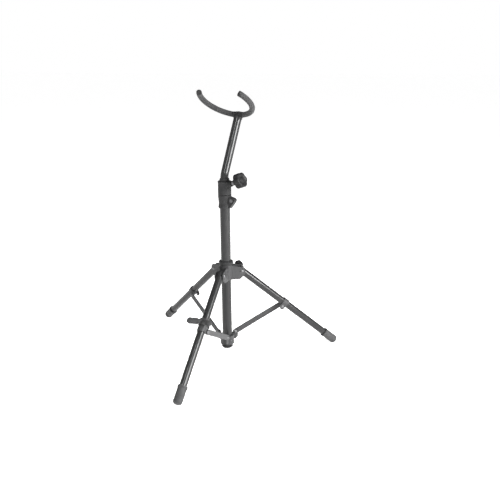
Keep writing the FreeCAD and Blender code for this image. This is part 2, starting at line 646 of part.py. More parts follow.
def stem_path(top):
    """Straight run up the column, one bend, and the leaning run to the yoke."""
    before = KNEE - Z_AXIS * STEM_CUT_BACK
    after = KNEE + STEM_AXIS * STEM_CUT_BACK
    bisector = (STEM_AXIS - Z_AXIS).normalize()
    centre_gap = STEM_BEND_RADIUS / math.cos(LEAN / 2)
    middle = KNEE + bisector * (centre_gap - STEM_BEND_RADIUS)
    edges = [Part.makeLine(vec(0, 0, STEM_BOTTOM), before), Part.Arc(before, middle, after).toShape(),
             Part.makeLine(after, stem_point(top))]
    return Part.Wire(edges)


def stem_tube():
    path = stem_path(STEM_END)
    skins = []
    for radius in (STEM_OD / 2, STEM_OD / 2 - STEM_WALL):
        ring = Part.Wire(Part.makeCircle(radius, vec(0, 0, STEM_BOTTOM), Z_AXIS))
        skins.append(path.makePipeShell([ring], True, True))
    return one_solid(skins[0].cut(skins[1]))


def stem_plug():
    """Plastic guide on the stem's lower end that slides inside the column."""
    spigot = STEM_OD / 2 - STEM_WALL - FIT
    guide = COLUMN_ID / 2 - FIT
    low = -STEM_PLUG_HEAD
    profile = [(0, low), (guide - 1, low), (guide, low + 1), (guide, 0), (spigot, 0),
               (spigot, STEM_PLUG_LENGTH), (0, STEM_PLUG_LENGTH)]
    return revolve(profile, vec(0, 0, STEM_BOTTOM))


def yoke_point(angle):
    """Point on the yoke's arc; angle 0 is above the stem, positive to the stem's left."""
    a = math.radians(angle)
    return YOKE_CENTRE - YOKE_OPENING * (YOKE_RADIUS * math.cos(a)) + YOKE_ACROSS * (YOKE_RADIUS * math.sin(a))


def yoke_direction(angle):
    a = math.radians(angle)
    return YOKE_OPENING * math.sin(a) + YOKE_ACROSS * math.cos(a)


def arc_bar(diameter, start, end):
    """Round bar along the yoke's arc between two angles."""
    middle = yoke_point((start + end) / 2)
    spine = Part.Wire(Part.Arc(yoke_point(start), middle, yoke_point(end)).toShape())
    ring = Part.Wire(Part.makeCircle(diameter / 2, yoke_point(start), yoke_direction(start)))
    return spine.makePipeShell([ring], True, True).Solids[0]


def arc_degrees(length):
    return math.degrees(length / YOKE_RADIUS)


def yoke_rod():
    half = YOKE_SWEEP / 2
    return arc_bar(YOKE_ROD_D, -half, half)


def yoke_saddle():
    """Moulded tee that joins the stem's top to the yoke rod."""
    half = arc_degrees(SADDLE_HALF)
    bar = arc_bar(SADDLE_OD, -half, half)
    socket = rod(STEM_OD + 2 * SADDLE_SOCKET_WALL, stem_point(STEM_END - SADDLE_SOCKET), YOKE_FOOT)
    spigot = rod(STEM_OD - 2 * STEM_WALL - 2 * FIT, stem_point(STEM_END - SADDLE_SPIGOT), YOKE_FOOT)
    bore = rod(STEM_OD + 2 * FIT, stem_point(STEM_END - 2 * SADDLE_SPIGOT), stem_point(STEM_END))
    saddle = bar.fuse(socket).cut(bore).fuse(spigot)
    hole = arc_bar(YOKE_ROD_D + 2 * FIT, -2 * half, 2 * half)
    return one_solid(saddle.cut(hole))


def yoke_sleeve(side):
    """Foam sleeve on one half of the yoke rod."""
    start = arc_degrees(SADDLE_HALF + SADDLE_TO_SLEEVE)
    end = YOKE_SWEEP / 2 - arc_degrees(TIP_CAP)
    outer = arc_bar(SLEEVE_OD, side * start, side * end)
    inner = arc_bar(YOKE_ROD_D + 2 * FIT, side * (start - 2), side * (end + 2))
    return one_solid(outer.cut(inner))


def yoke_tip_caps():
    """Thin caps on the rod's two ends that keep the sleeves on."""
    end = YOKE_SWEEP / 2
    caps = []
    for side in (-1, 1):
        start = side * (end - arc_degrees(TIP_CAP - FIT))
        disc = arc_bar(SLEEVE_OD - CHAMFER, start, side * (end + arc_degrees(TIP_CAP_PROUD)))
        hole = arc_bar(YOKE_ROD_D + 2 * FIT, side * (end - 3 * arc_degrees(TIP_CAP)), side * end)
        caps.append(one_solid(disc.cut(hole)))
    return Part.makeCompound(caps)


# ---- lower rest, in leg A's own plane ---------------------------------------
REST_ROOT = on_leg(REST_ALONG, REST_ROOT_UP)


def prong_axis(side):
    return vec(PRONG_FORWARD, side * PRONG_SIDE, PRONG_UP).normalize()


def prong_length():
    return vec(PRONG_FORWARD, PRONG_SIDE, PRONG_UP).Length


def prong_point(side, along):
    return REST_ROOT + prong_axis(side) * along


def rest_clamp():
    """Clamp round leg A with a boss for the two prongs and a lug for its screw."""
    low = on_leg(REST_ALONG - REST_LENGTH / 2)
    high = on_leg(REST_ALONG + REST_LENGTH / 2)
    clamp = rod(REST_OD, low, high)
    clamp = clamp.makeChamfer(CHAMFER, clamp.Edges)
    boss = rod(REST_BOSS_D, on_leg(REST_ALONG), on_leg(REST_ALONG, REST_ROOT_UP + REST_BOSS_RISE))
    for side in (-1, 1):
        socket_end = prong_point(side, PRONG_SLEEVE_START - CLEAR)
        socket = rod(PRONG_ROD_D + 2 * PRONG_SOCKET_WALL, REST_ROOT, socket_end)
        boss = boss.fuse(socket)
    lug = rod(REST_LUG_D, on_leg(REST_ALONG), on_leg(REST_ALONG, -REST_LUG_END))
    clamp = clamp.fuse([boss, lug]).cut(rod(LEG_OD + 2 * FIT, low - UP_LEG * 4, high + UP_LEG * 4))
    for side in (-1, 1):
        hole = rod(PRONG_ROD_D, prong_point(side, PRONG_ROD_START - 1), prong_point(side, prong_length()))
        clamp = clamp.cut(hole)
    return one_solid(clamp.cut(rod(REST_SCREW_D, on_leg(REST_ALONG), on_leg(REST_ALONG, -REST_OD))))


def rest_prongs():
    """Two steel rods pressed into the rest's boss."""
    end = prong_length() - PRONG_SLEEVE_D / 2
    rods = []
    for side in (-1, 1):
        rods.append(rod(PRONG_ROD_D - 2 * FIT, prong_point(side, PRONG_ROD_START), prong_point(side, end)))
    return Part.makeCompound(rods)


def rest_sleeve(side):
    """Rubber sleeve with a round end on one prong."""
    end = prong_point(side, prong_length() - PRONG_SLEEVE_D / 2)
    sleeve = rod(PRONG_SLEEVE_D, prong_point(side, PRONG_SLEEVE_START), end)
    sleeve = sleeve.fuse(Part.makeSphere(PRONG_SLEEVE_D / 2, end))
    return one_solid(sleeve.cut(rod(PRONG_ROD_D, REST_ROOT, end)))


def rest_screw():
    """Lock screw that presses on the leg from below."""
    return rod(REST_SCREW_D - 2 * FIT, on_leg(REST_ALONG, -LEG_OD / 2 - CLEAR),
               on_leg(REST_ALONG, -REST_KNOB_START - REST_KNOB_LENGTH / 2))


def rest_knob():
    return lobed_knob(REST_KNOB_D, REST_KNOB_LENGTH, REST_KNOB_LOBES, REST_KNOB_LOBE_D,
                      on_leg(REST_ALONG, -REST_KNOB_START), OFF_LEG * -1, REST_SCREW_D - 2 * FIT)


# ---- all nodes --------------------------------------------------------------
def model():
    nodes = {
        "column_tube": column_tube(),
        "column_end_cap": column_end_cap(),
        "lower_ring": lower_ring(),
        "ring_screw": ring_screw(),
        "clamp_housing": clamp_housing(),
        "pinch_screw": pinch_screw(),
        "stem_bush": stem_bush(),
        "clamp_screw": clamp_screw(),
        "clamp_knob": clamp_knob(),
        "stem_tube": stem_tube(),
        "stem_plug": stem_plug(),
        "yoke_rod": yoke_rod(),
        "yoke_saddle": yoke_saddle(),
        "yoke_sleeve_right": yoke_sleeve(-1),
        "yoke_sleeve_left": yoke_sleeve(1),
        "yoke_tip_caps": yoke_tip_caps(),
        "leg_hub": leg_hub(),
        "hub_liner": hub_liner(),
        "hub_rivets": hub_rivets(),
        "hub_screw": hub_screw(),
        "hub_knob": hub_knob(),
    }
    ring_rivets = [turned(brace_rivet(RING_PIVOT), azimuth) for azimuth in LEG_AZIMUTHS.values()]
    nodes["ring_rivets"] = Part.makeCompound(ring_rivets)
    leg_pieces = {"leg_tube": leg_tube(), "leg_plug": leg_plug(), "leg_pin": leg_pin(), "foot": foot(),
                  "leg_collar": leg_collar(), "collar_rivet": collar_rivet(), "brace": brace()}
    for letter, azimuth in LEG_AZIMUTHS.items():
        for name, shape in leg_pieces.items():
            nodes[name + "_" + letter] = turned(shape, azimuth)
    rest_pieces = {"rest_clamp": rest_clamp(), "rest_prongs": rest_prongs(),
                   "rest_sleeve_left": rest_sleeve(-1), "rest_sleeve_right": rest_sleeve(1),
                   "rest_screw": rest_screw(), "rest_knob": rest_knob()}
    for name, shape in rest_pieces.items():
        nodes[name] = turned(shape, LEG_AZIMUTHS["a"])
    return nodes


os.makedirs("parts", exist_ok=True)
for node_name, node_shape in model().items():
    node_shape.exportStep("parts/" + node_name + ".step")
    print(node_name, node_shape.isValid(), len(node_shape.Solids), round(node_shape.Volume))
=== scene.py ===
import json
import math

import bmesh
import bpy
from mathutils import Matrix, Vector, noise


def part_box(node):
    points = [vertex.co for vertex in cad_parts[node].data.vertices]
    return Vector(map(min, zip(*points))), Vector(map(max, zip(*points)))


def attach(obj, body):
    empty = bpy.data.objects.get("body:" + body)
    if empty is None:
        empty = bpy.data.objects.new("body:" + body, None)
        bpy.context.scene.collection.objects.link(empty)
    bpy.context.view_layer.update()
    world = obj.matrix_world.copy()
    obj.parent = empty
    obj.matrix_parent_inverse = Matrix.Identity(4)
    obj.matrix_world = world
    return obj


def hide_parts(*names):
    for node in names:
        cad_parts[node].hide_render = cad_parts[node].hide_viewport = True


# A folding saxophone stand in black: powder-coated tubes, moulded clamp and knobs,
# foam sleeves and rubber feet. Metres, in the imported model's own frame.

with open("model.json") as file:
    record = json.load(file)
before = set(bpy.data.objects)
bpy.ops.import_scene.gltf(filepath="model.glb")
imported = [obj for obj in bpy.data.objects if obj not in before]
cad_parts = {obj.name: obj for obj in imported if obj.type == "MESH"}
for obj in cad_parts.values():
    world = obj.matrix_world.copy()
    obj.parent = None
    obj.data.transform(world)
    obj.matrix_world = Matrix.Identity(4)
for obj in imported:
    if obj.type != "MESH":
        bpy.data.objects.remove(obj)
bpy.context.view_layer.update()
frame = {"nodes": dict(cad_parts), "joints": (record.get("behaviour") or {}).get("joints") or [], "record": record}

JOINTS = {joint["name"]: joint for joint in frame["joints"]}
MOUNTS = {mount["name"]: mount for mount in frame["record"]["mounts"]}
Z_AXIS = Vector((0, 0, 1))
MM = 0.001
TURN = 2 * math.pi

# ---- camera -------------------------------------------------------------------
CAMERA_AZIMUTH = math.radians(20.78)
CAMERA_ELEVATION = math.radians(17.35)
CAMERA_ROLL = math.radians(-0.37)
CAMERA_DISTANCE = 1.8754
CAMERA_LENS = 44.64
CAMERA_SENSOR = 36.0
CAMERA_NEAR = 0.05
AIM_RIGHT = 0.0733          # where the camera aims: to the right of the column, and this high
AIM_HEIGHT = 0.3338

# ---- yoke: rod, sleeves and saddle ---------------------------------------------
YOKE_RADIUS = 79 * MM
YOKE_SWEEP = 240.0
YOKE_ROD_RADIUS = 4.05 * MM
YOKE_SEGMENTS = 48          # points around the sleeves and the saddle's bar
SLEEVE_RADIUS = 8.15 * MM
SLEEVE_LIP = 1.2 * MM
SLEEVE_LIP_ARC = 120        # degrees that a lip's rounding turns through
SLEEVE_LIP_STEPS = 6
SLEEVE_STEPS = 90           # rings along a sleeve's outside, and fewer along its bore
SLEEVE_BORE_STEPS = 40
SLEEVE_UNEVEN = 0.16 * MM   # depth of the outside's unevenness; its mean is half of this under the radius
SLEEVE_NOISE = 110          # noise over the sleeve, in features per metre
SADDLE_HALF = 19.0 * MM
SADDLE_RADIUS = 10.3 * MM
SADDLE_END_RADIUS = 8.3 * MM
SADDLE_STEPS = 40
SADDLE_SOCKET_RADIUS = 13.5 * MM
SADDLE_SOCKET_RIM = 0.8 * MM
SADDLE_SOCKET_DROP = 12 * MM    # the socket's rim below the rod's centre line
SADDLE_SHOULDER = (0.4, 0.8)    # the socket is full width to the first share of the drop, and narrows to
                                # the second share of its width at the top
SADDLE_VOXEL = 0.5 * MM
SADDLE_SMOOTHING = 12
SADDLE_SMOOTHING_FACTOR = 0.5
KNEE = Vector((0, 0, 0.5625))   # where the stem's two straight runs would meet
TIP_GAP = 2.3 * MM
SADDLE_GAP = 0.5 * MM


# ---- small helpers ------------------------------------------------------------
LATHE_NOISE = 90            # noise over turned pieces, in features per metre


def smooth_step(x):
    """0 to 1 with a level start and end."""
    x = min(max(x, 0.0), 1.0)
    return x * x * (3 - 2 * x)


def centre_of(node):
    low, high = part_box(node)
    return (low + high) / 2


def new_piece(name, mesh, material, body, slot, *nodes):
    """Link a mesh as a piece that rides on a body and stands for CAD nodes."""
    piece = bpy.data.objects.new(name, mesh)
    bpy.context.scene.collection.objects.link(piece)
    mesh.materials.append(material)
    for polygon in mesh.polygons:
        polygon.use_smooth = True
    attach(piece, body)
    if nodes:
        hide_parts(*nodes)
    return piece


def mesh_from(name, verts, faces):
    """Mesh with all its faces turned outwards."""
    mesh = bpy.data.meshes.new(name)
    mesh.from_pydata([tuple(v) for v in verts], [], faces)
    mesh.validate()
    bm = bmesh.new()
    bm.from_mesh(mesh)
    bmesh.ops.recalc_face_normals(bm, faces=bm.faces)
    bm.to_mesh(mesh)
    bm.free()
    return mesh


def bands(rings, points, closed=False):
    """Quads between neighbouring rings of points; closed also joins the last ring to the first."""
    faces = []
    for ring in range(rings if closed else rings - 1):
        here = ring * points
        there = (ring + 1) % rings * points
        for k in range(points):
            m = (k + 1) % points
            faces.append((here + k, here + m, there + m, there + k))
    return faces


def end_face(ring, points):
    """One flat face across a ring."""
    return tuple(ring * points + k for k in range(points))


def closed_sweep(name, rings):
    """Skin over a loop of rings, the last one joined to the first."""
    verts = [point for ring in rings for point in ring]
    return mesh_from(name, verts, bands(len(rings), len(rings[0]), closed=True))


def across_pair(axis):
    """Two unit vectors square to an axis."""
    side = axis.cross(Z_AXIS)
    if side.length < 1e-4:
        side = Vector((1, 0, 0))
    side.normalize()
    return side, axis.cross(side).normalized()


def lathe(name, start, axis, profile, segments=64, wobble=0.0, seed=0.0):
    """Surface of revolution from (radius, height) points; wobble is the depth of its unevenness."""
    side, other = across_pair(axis)
    verts = []
    for radius, height in profile:
        for k in range(segments):
            angle = TURN * k / segments
            way = side * math.cos(angle) + other * math.sin(angle)
            point = start + axis * height + way * radius
            if wobble:  # points on the axis move too, which leaves a pinhole there
                point += way * wobble * noise.noise(point * LATHE_NOISE + Vector((seed, 0, 0)))
            verts.append(point)
    rows = len(profile)
    faces = bands(rows, segments)
    for row in (0, rows - 1):
        if profile[row][0] > 0:
            faces.append(end_face(row, segments))
    return mesh_from(name, verts, faces)


def arc_profile(centre_r, centre_h, radius, start, end, steps):
    """Points on a round corner, as (radius, height), angles in degrees."""
    points = []
    for i in range(steps + 1):
        angle = math.radians(start + (end - start) * i / steps)
        points.append((centre_r + radius * math.cos(angle), centre_h + radius * math.sin(angle)))
    return points


# ---- materials ----------------------------------------------------------------
HARD_SPECULAR = 0.15        # paint and moulded plastic
COAT_ROUGHNESS = 0.07
BLEND_SHARE = 0.3           # the second pattern's share where two are blended


class Nodes:
    """Short way to add shader nodes and links to one material."""

    def __init__(self, name):
        self.material = bpy.data.materials.new(name)
        self.material.use_nodes = True
        self.tree = self.material.node_tree
        self.shader = self.tree.nodes["Principled BSDF"]
        coords = self.add("ShaderNodeTexCoord")
        self.place = coords.outputs["Object"]

    def add(self, kind):
        return self.tree.nodes.new(kind)

    def link(self, source, target):
        self.tree.links.new(source, target)

    def noise(self, scale, detail=3.0, roughness=0.55, stretch=None):
        """Noise over the object's own coordinates, scale in features per metre."""
        node = self.add("ShaderNodeTexNoise")
        node.inputs["Scale"].default_value = scale
        node.inputs["Detail"].default_value = detail
        node.inputs["Roughness"].default_value = roughness
        source = self.place
        if stretch:
            mapping = self.add("ShaderNodeMapping")
            mapping.inputs["Scale"].default_value = stretch
            self.link(source, mapping.inputs["Vector"])
            source = mapping.outputs["Vector"]
        self.link(source, node.inputs["Vector"])
        return node.outputs["Fac"]

    def cells(self, scale):
        """Distance to the middle of the nearest cell."""
        node = self.add("ShaderNodeTexVoronoi")
        node.inputs["Scale"].default_value = scale
        self.link(self.place, node.inputs["Vector"])
        return node.outputs["Distance"]

    def ramp(self, source, *stops):
        """Colour ramp from (position, colour) stops."""
        node = self.add("ShaderNodeValToRGB")
        elements = node.color_ramp.elements
        while len(elements) < len(stops):
            elements.new(0.5)
        for element, (position, colour) in zip(elements, stops):
            element.position = position
            element.color = (*colour, 1)
        self.link(source, node.inputs["Fac"])
        return node.outputs["Color"]

    def span(self, source, low, high, to_low, to_high):
        """Values from low to high become to_low to to_high."""
        node = self.add("ShaderNodeMapRange")
        for key, value in (("From Min", low), ("From Max", high), ("To Min", to_low), ("To Max", to_high)):
            node.inputs[key].default_value = value
        self.link(source, node.inputs["Value"])
        return node.outputs["Result"]

    def bump(self, source, strength, distance, under=None):
        """Bump of this depth in metres, over another one if it's given."""
        node = self.add("ShaderNodeBump")
        node.inputs["Strength"].default_value = strength
        node.inputs["Distance"].default_value = distance
        self.link(source, node.inputs["Height"])
        if under:
            self.link(under, node.inputs["Normal"])
        return node.outputs["Normal"]

    def blend(self, first, second):
        """Weighted average of two values."""
        node = self.add("ShaderNodeMix")
        node.inputs["Factor"].default_value = BLEND_SHARE
        self.link(first, node.inputs["A"])
        self.link(second, node.inputs["B"])
        return node.outputs["Result"]

    def set(self, **values):
        """Constants on the shader's own sockets."""
        for key, value in values.items():
            self.shader.inputs[key.replace("_", " ")].default_value = value

    def finish(self, colour, rough, normal):
        self.link(colour, self.shader.inputs["Base Color"])
        self.link(rough, self.shader.inputs["Roughness"])
        self.link(normal, self.shader.inputs["Normal"])
        return self.material


def shade(tone, share):
    return tuple(channel * share for channel in tone)


def painted(name, tone, rough, peel, coat=0.0):
    """Baked paint: an even tone with faint clouds, orange-peel surface and fine scuffs."""
    nodes = Nodes(name)
    cloud = nodes.noise(scale=22, detail=4)
    scuffs = nodes.noise(scale=160, detail=6, roughness=0.7, stretch=(1, 1, 0.25))
    pattern = nodes.blend(cloud, scuffs)
    colour = nodes.ramp(pattern, (0.3, shade(tone, 0.88)), (0.5, tone), (0.75, shade(tone, 1.12)))
    roughness = nodes.span(scuffs, low=0.3, high=0.75, to_low=rough - 0.02, to_high=rough + 0.05)
    orange_peel = nodes.bump(nodes.noise(scale=650, detail=1.5), strength=peel, distance=0.0003)
    nodes.set(Specular_IOR_Level=HARD_SPECULAR, Coat_Weight=coat, Coat_Roughness=COAT_ROUGHNESS)
    surface = nodes.bump(scuffs, strength=0.03, distance=0.0002, under=orange_peel)
    return nodes.finish(colour, roughness, surface)


def moulded(name, tone, rough, grain):
    """Moulded plastic with a fine spark-eroded grain and faint flow marks."""
    nodes = Nodes(name)
    flow = nodes.noise(scale=45, detail=3)
    fine = nodes.noise(scale=2200, detail=2)
    pattern = nodes.blend(flow, fine)
    colour = nodes.ramp(pattern, (0.3, shade(tone, 0.85)), (0.55, tone), (0.8, shade(tone, 1.2)))
    roughness = nodes.span(flow, low=0.3, high=0.7, to_low=rough - 0.04, to_high=rough + 0.06)
    nodes.set(Specular_IOR_Level=HARD_SPECULAR)
    flow_marks = nodes.bump(flow, strength=0.05, distance=0.001)
    surface = nodes.bump(fine, strength=grain, distance=0.00025, under=flow_marks)
    return nodes.finish(colour, roughness, surface)


def foam(name, tone):
    """Closed-cell foam rubber: matte, with small pores and a soft sheen."""
    nodes = Nodes(name)
    pores = nodes.cells(scale=1500)
    patches = nodes.noise(scale=70, detail=4)
    pattern = nodes.blend(patches, pores)
    colour = nodes.ramp(pattern, (0.2, shade(tone, 0.65)), (0.5, tone), (0.8, shade(tone, 1.35)))
    roughness = nodes.span(patches, low=0.3, high=0.7, to_low=0.78, to_high=0.92)
    nodes.set(Specular_IOR_Level=0.2, Sheen_Weight=0.1, Sheen_Roughness=0.5)
    dents = nodes.bump(patches, strength=0.25, distance=0.0015)
    surface = nodes.bump(pores, strength=0.55, distance=0.0003, under=dents)
    return nodes.finish(colour, roughness, surface)


def rubber(name, tone):
    """Dense rubber, a little dusty, with a smoother skin than the foam."""
    nodes = Nodes(name)
    dust = nodes.noise(scale=60, detail=5, roughness=0.65)
    fine = nodes.noise(scale=1400, detail=2)
    colour = nodes.ramp(nodes.blend(dust, fine), (0.35, tone), (0.75, shade(tone, 1.6)))
    roughness = nodes.span(dust, low=0.3, high=0.7, to_low=0.5, to_high=0.7)
    nodes.set(Specular_IOR_Level=0.3)
    dents = nodes.bump(dust, strength=0.1, distance=0.001)
    surface = nodes.bump(fine, strength=0.2, distance=0.0003, under=dents)
    return nodes.finish(colour, roughness, surface)


def steel(name, tone, rough):
    """Dull steel with fine turning marks."""
    nodes = Nodes(name)
    marks = nodes.noise(scale=900, detail=4, roughness=0.6, stretch=(1, 1, 0.15))
    stain = nodes.noise(scale=120, detail=3)
    colour = nodes.ramp(nodes.blend(marks, stain), (0.3, shade(tone, 0.7)), (0.7, tone))
    roughness = nodes.span(marks, low=0.3, high=0.7, to_low=rough - 0.08, to_high=rough + 0.12)
    nodes.set(Metallic=1.0)
    return nodes.finish(colour, roughness, nodes.bump(marks, strength=0.12, distance=0.0002))


MATERIALS = {
    "black_paint": painted("tube_paint", (0.014, 0.014, 0.0145), rough=0.4, peel=0.03, coat=0.3),
    "casting_paint": painted("casting_paint", (0.045, 0.045, 0.046), rough=0.42, peel=0.12),
    "brace_paint": painted("brace_paint", (0.040, 0.040, 0.041), rough=0.38, peel=0.08),
    "rod_paint": painted("rod_paint", (0.022, 0.022, 0.0225), rough=0.35, peel=0.06),
    "housing_plastic": moulded("housing_plastic", (0.022, 0.022, 0.0225), rough=0.45, grain=0.18),
    "knob_plastic": moulded("knob_plastic", (0.012, 0.012, 0.0125), rough=0.4, grain=0.15),
    "plug_plastic": moulded("plug_plastic", (0.016, 0.016, 0.0165), rough=0.45, grain=0.15),
    "sleeve_foam": foam("sleeve_foam", (0.030, 0.030, 0.0305)),
    "foot_rubber": rubber("foot_rubber", (0.032, 0.032, 0.0325)),
    "screw_steel": steel("screw_steel", (0.16, 0.16, 0.165), rough=0.4),
    "rivet_steel": steel("rivet_steel", (0.14, 0.14, 0.143), rough=0.42),
}

SLOT_OF = {part["node"]: part["material_slot"] for part in frame["record"]["subparts"]}
for node_name, node in frame["nodes"].items():
    node.data.materials.clear()
    node.data.materials.append(MATERIALS[SLOT_OF[node_name]])


# ---- yoke ---------------------------------------------------------------------
YOKE_CENTRE = Vector(MOUNTS["yoke_cradle"]["pos_m"])
YOKE_NORMAL = Vector(MOUNTS["yoke_cradle"]["axis"]).normalized()
YOKE_ACROSS = Z_AXIS.cross(YOKE_NORMAL).normalized()
if YOKE_NORMAL.cross(YOKE_ACROSS).z < 0:
    YOKE_ACROSS = -YOKE_ACROSS
YOKE_OPENING = YOKE_NORMAL.cross(YOKE_ACROSS).normalized()


def yoke_frame(along):
    """Point on the yoke's arc and the way outwards there; along is in metres from the stem."""
    angle = along / YOKE_RADIUS
    out = -YOKE_OPENING * math.cos(angle) + YOKE_ACROSS * math.sin(angle)
    return YOKE_CENTRE + out * YOKE_RADIUS, out


def arc_ring(along, radius, uneven=0.0):
    """Ring of points around the yoke's arc."""
    point, out = yoke_frame(along)
    ring = []
    for k in range(YOKE_SEGMENTS):
        angle = TURN * k / YOKE_SEGMENTS
        way = out * math.cos(angle) + YOKE_NORMAL * math.sin(angle)
        r = radius + uneven * noise.noise((point + way * radius) * SLEEVE_NOISE)
        ring.append(point + way * r)
    return ring


def end_ring(along):
    """Ring of no size that closes the saddle's bar."""
    return [yoke_frame(along)[0]] * YOKE_SEGMENTS


def yoke_sleeve(side, node):
    """Foam sleeve pushed on to one half of the rod: soft lips, slightly uneven wall."""
    half_sweep = YOKE_RADIUS * math.radians(YOKE_SWEEP / 2)
    start = SADDLE_HALF + SADDLE_GAP
    end = half_sweep - TIP_GAP
    lip = SLEEVE_LIP
    rings = [arc_ring(side * start, YOKE_ROD_RADIUS)]
    near_lip = arc_profile(SLEEVE_RADIUS - lip, start + lip, lip, 360 - SLEEVE_LIP_ARC, 360, SLEEVE_LIP_STEPS)
    for radius, along in near_lip:
        rings.append(arc_ring(side * along, radius))
    for i in range(1, SLEEVE_STEPS):
        along = start + lip + (end - start - 2 * lip) * i / SLEEVE_STEPS
        rings.append(arc_ring(side * along, SLEEVE_RADIUS - SLEEVE_UNEVEN / 2, SLEEVE_UNEVEN))
    far_lip = arc_profile(SLEEVE_RADIUS - lip, end - lip, lip, 0, SLEEVE_LIP_ARC, SLEEVE_LIP_STEPS)
    for radius, along in far_lip:
        rings.append(arc_ring(side * along, radius))
    rings.append(arc_ring(side * end, YOKE_ROD_RADIUS))
    for i in range(1, SLEEVE_BORE_STEPS):
        along = end + (start - end) * i / SLEEVE_BORE_STEPS
        rings.append(arc_ring(side * along, YOKE_ROD_RADIUS))
    mesh = closed_sweep(node + "_foam", rings)
    sleeve = new_piece(node + "_foam", mesh, MATERIALS["sleeve_foam"], "stem", "sleeve_foam", node)


def side_of(node):
    """+1 if the node is on the positive side across the yoke, else -1."""
    return 1 if (centre_of(node) - YOKE_CENTRE).dot(YOKE_ACROSS) > 0 else -1


def remeshed(mesh, voxel, rounds, factor):
    """Joins overlapping solids into one skin and rounds the creases between them."""
    carrier = bpy.data.objects.new("remesh_carrier", mesh)
    bpy.context.scene.collection.objects.link(carrier)
    join = carrier.modifiers.new("join", "REMESH")
    join.mode = "VOXEL"
    join.voxel_size = voxel
    relax = carrier.modifiers.new("relax", "SMOOTH")
    relax.factor = factor
    relax.iterations = rounds
    graph = bpy.context.evaluated_depsgraph_get()
    result = bpy.data.meshes.new_from_object(carrier.evaluated_get(graph))
    bpy.data.objects.remove(carrier)
    return result


def joined(meshes):
    """One mesh that holds several."""
    bm = bmesh.new()
    for mesh in meshes:
        bm.from_mesh(mesh)
    result = bpy.data.meshes.new("joined")
    bm.to_mesh(result)
    bm.free()
    return result


def yoke_saddle():
    """Moulded tee between stem and rod: a bar with a gentle swell that runs down to the stem's top."""
    rings = [end_ring(-SADDLE_HALF)]
    for i in range(SADDLE_STEPS + 1):
        along = SADDLE_HALF * (2 * i / SADDLE_STEPS - 1)
        swell = smooth_step(1 - abs(along) / SADDLE_HALF)
        rings.append(arc_ring(along, SADDLE_END_RADIUS + (SADDLE_RADIUS - SADDLE_END_RADIUS) * swell))
    rings.append(end_ring(SADDLE_HALF))
    bar = closed_sweep("saddle_bar", rings)
    foot = yoke_frame(0)[0]
    lean = (foot - KNEE).normalized()
    wide = SADDLE_SOCKET_RADIUS
    rim = SADDLE_SOCKET_RIM
    drop = SADDLE_SOCKET_DROP
    straight, narrow = SADDLE_SHOULDER
    outline = [(0, 0), (wide - rim, 0), (wide, rim)]
    outline += [(wide, straight * drop), (narrow * wide, drop), (0, drop)]
    socket = lathe("saddle_socket", foot - lean * drop, lean, outline)
    mesh = remeshed(joined([bar, socket]), SADDLE_VOXEL, SADDLE_SMOOTHING, SADDLE_SMOOTHING_FACTOR)
    new_piece("saddle_moulding", mesh, MATERIALS["housing_plastic"], "stem", "housing_plastic", "yoke_saddle")


yoke_saddle()
for name in ("yoke_sleeve_left", "yoke_sleeve_right"):
    yoke_sleeve(side_of(name), name)


# ---- legs: feet ---------------------------------------------------------------
UP_LEG_A = Vector(JOINTS["rest_slide"]["axis"]).normalized()
LEG_TURNS = {"a": 0.0, "b": TURN / 3, "c": 2 * TURN / 3}
FOOT_RADIUS = 13.3 * MM
FOOT_MOUTH_RADIUS = 14.5 * MM
FOOT_BORE_RADIUS = 11.1 * MM
FOOT_NOSE = 8 * MM
FOOT_NOSE_STEPS = 14
FOOT_SINK = 0.9 * MM        # the rounded nose would dip this far under the floor, and is flattened there
FOOT_LENGTH = 52 * MM
FOOT_MOUTH = 6 * MM         # length of the thicker mouth
FOOT_MOUTH_EDGE = 0.3 * MM
FOOT_MOUTH_FLAT = 0.5 * MM
FOOT_SWELL = ((0, -9), (0.05, -3), (0.35, -1.4))    # added radius, and height from the mouth, in mm
FOOT_RIM_START = 1.6 * MM   # below the foot's top
FOOT_RIM_ROUND = 1.3 * MM
FOOT_BORE_DEPTH = 40 * MM
FOOT_GROOVES = 3
FOOT_GROOVE_START = 5 * MM  # above the nose's rounding
FOOT_GROOVE_PITCH = 3.6 * MM
FOOT_GROOVE_DEPTH = 0.55 * MM
FOOT_GROOVE_SHAPE = ((-1.0, 0), (-0.55, 0.6), (0, 1), (0.55, 0.6), (1.0, 0))    # height in mm, share of depth
FOOT_SEGMENTS = 72
FOOT_UNEVEN = 0.08 * MM


def leg_axis(letter):
    """A point on the leg's axis, at its pivot pin, and the direction up the leg."""
    turn = Matrix.Rotation(LEG_TURNS[letter], 3, "Z")
    return centre_of("leg_pin_" + letter), turn @ UP_LEG_A


